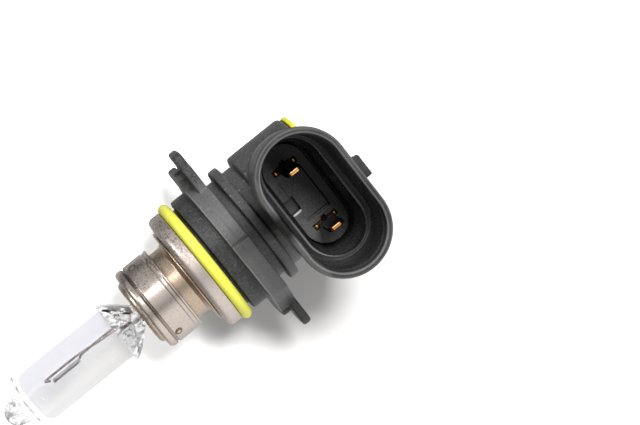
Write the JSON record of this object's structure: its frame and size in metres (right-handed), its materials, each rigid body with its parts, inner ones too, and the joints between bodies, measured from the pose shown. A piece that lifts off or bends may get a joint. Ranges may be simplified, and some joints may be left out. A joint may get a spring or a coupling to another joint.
{
  "type": "headlight bulb",
  "caption": "Right-angle halogen headlight bulb: clear glass capsule in a plated steel collar, yellow seal ring, black keyed flange base and a two-blade connector socket.",
  "frame": {"origin": "on the bulb's axis, in the front face of the base's locating flange, which seats on the headlight's bulb socket", "axes": "-X along the bulb's axis towards the glass tip, +X towards the closed end of the base, +Z out of the connector socket's mouth, Y across the socket's long side"},
  "size_m": [0.0661, 0.0338, 0.0413],
  "materials": {
    "quartz_glass": "clear, fire polished",
    "tungsten": "drawn wire",
    "molybdenum": "drawn wire and rolled foil",
    "plated_steel": "nickel plated, lightly stained by heat",
    "spring_steel": "satin",
    "yellow_silicone": "matte",
    "black_plastic": "glass-filled, satin",
    "copper_alloy": "bare copper alloy"
  },
  "bodies": {
    "root": {"glass_envelope": "quartz_glass", "filament_coil": "tungsten", "support_wire_long": "molybdenum", "support_wire_short": "molybdenum", "seal_foil_upper": "molybdenum", "seal_foil_lower": "molybdenum", "outer_lead_left": "molybdenum", "outer_lead_right": "molybdenum", "capsule_holder": "plated_steel", "pinch_clip_left": "spring_steel", "pinch_clip_right": "spring_steel", "focus_collar": "plated_steel", "flange_sleeve": "plated_steel", "flange_disc": "plated_steel", "weld_spot_top": "plated_steel", "weld_spot_side": "plated_steel", "weld_spot_under": "plated_steel", "o_ring": "yellow_silicone", "base_housing": "black_plastic", "rear_plug": "yellow_silicone", "terminal_insert": "black_plastic", "terminal_blade_left": "copper_alloy", "terminal_blade_right": "copper_alloy", "lead_crimp_left": "copper_alloy", "lead_crimp_right": "copper_alloy"}
  },
  "joints": []
}
